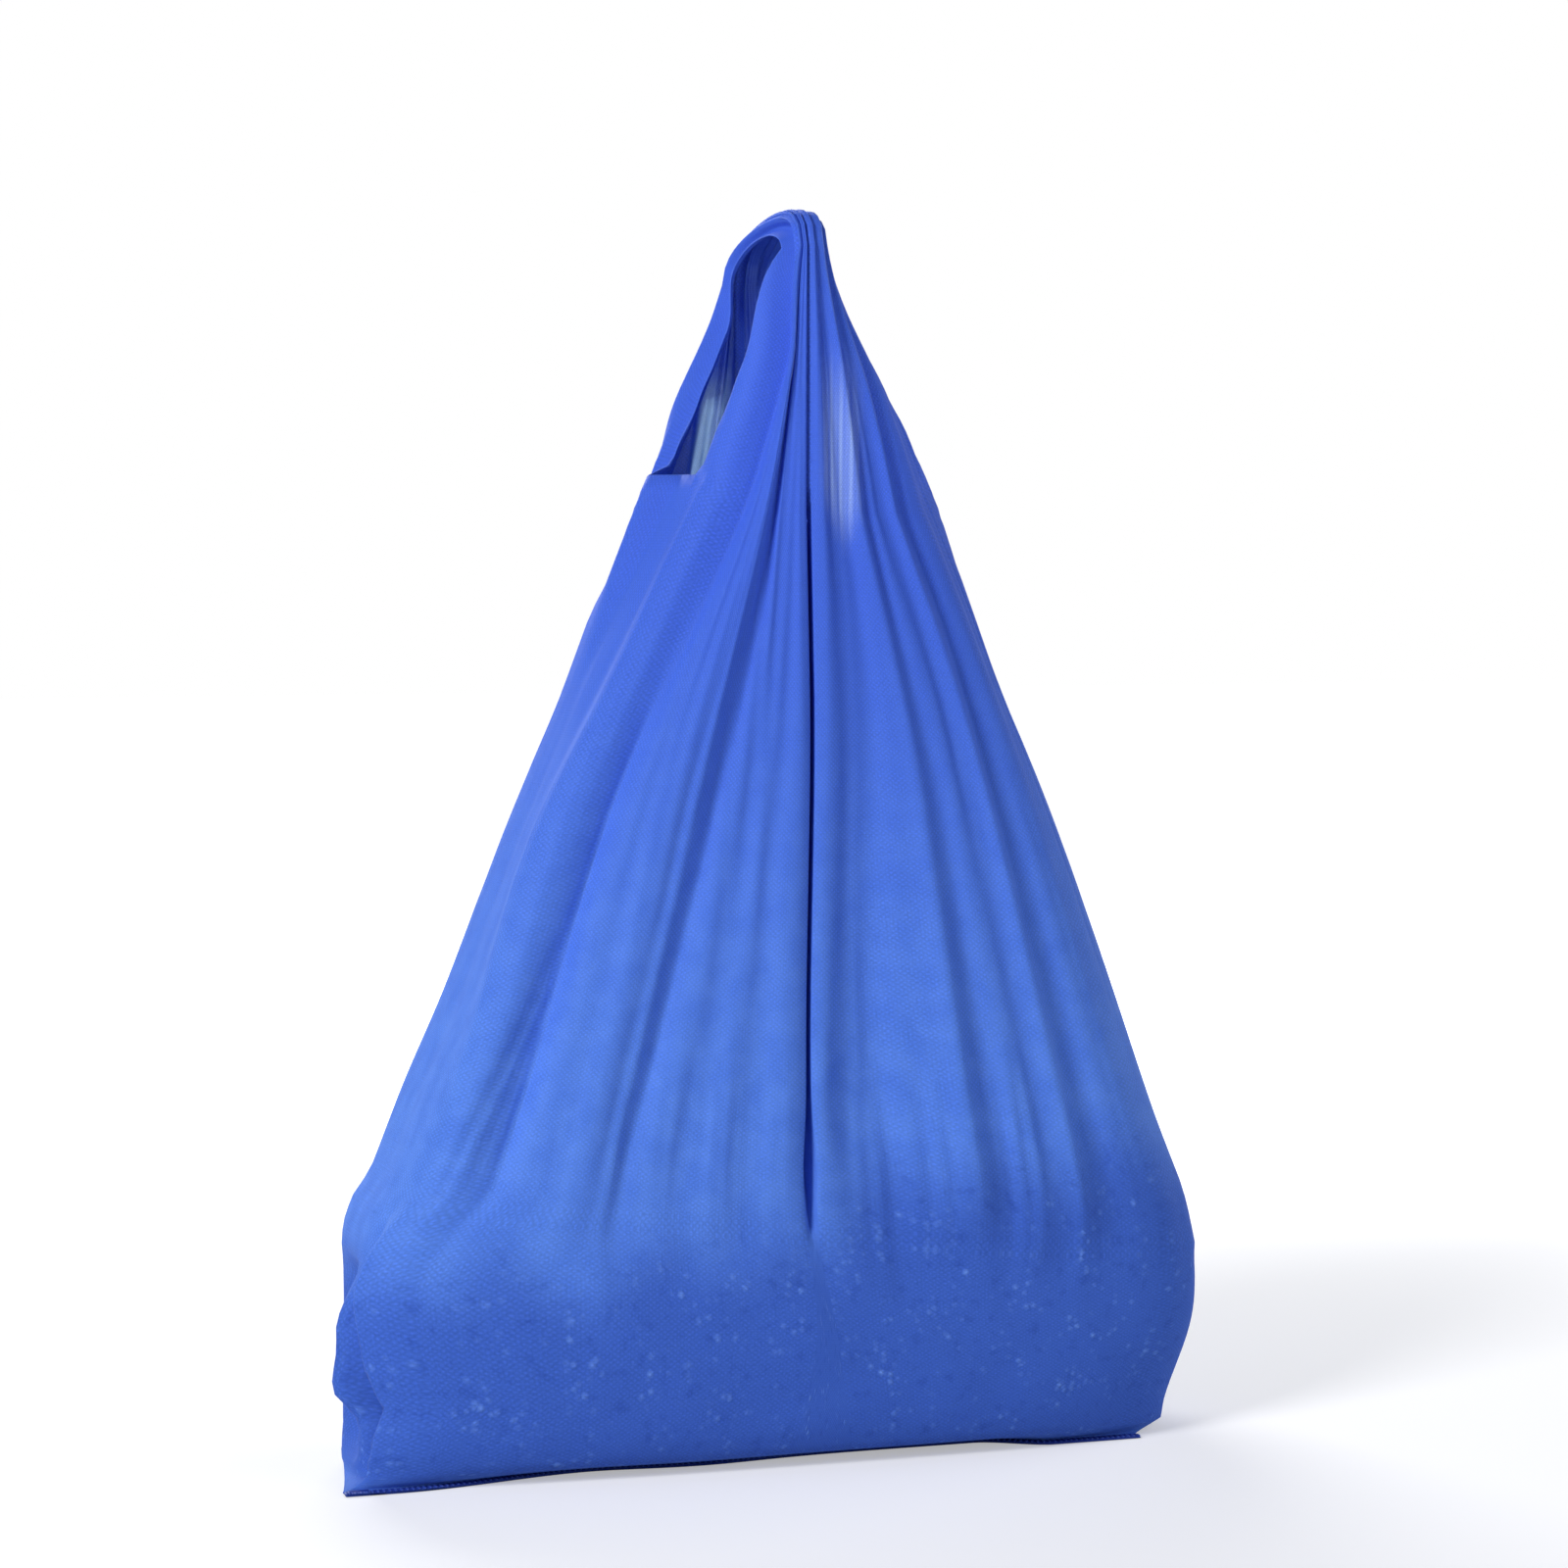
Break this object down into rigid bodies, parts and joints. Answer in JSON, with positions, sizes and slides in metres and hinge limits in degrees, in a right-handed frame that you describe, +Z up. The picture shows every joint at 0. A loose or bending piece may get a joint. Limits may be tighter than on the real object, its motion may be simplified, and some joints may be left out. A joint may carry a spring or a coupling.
{
  "type": "non-woven shopping bag",
  "caption": "Soft vest carrier bag of blue non-woven cloth, full and flat at the base, pleated and gathered upwards into looped handles, with gussets and a welded bottom seam.",
  "frame": {"origin": "middle of the bag's plan box, on the surface that its base stands on", "axes": "+Z up towards the handles, +X to the right along the bottom seam, -Y towards the front panel"},
  "size_m": [0.3676, 0.14, 0.5217],
  "materials": {
    "spunbond_cloth": "matt embossed spunbond polypropylene, slightly translucent"
  },
  "bodies": {
    "root": {"bag": "spunbond_cloth"}
  },
  "joints": []
}
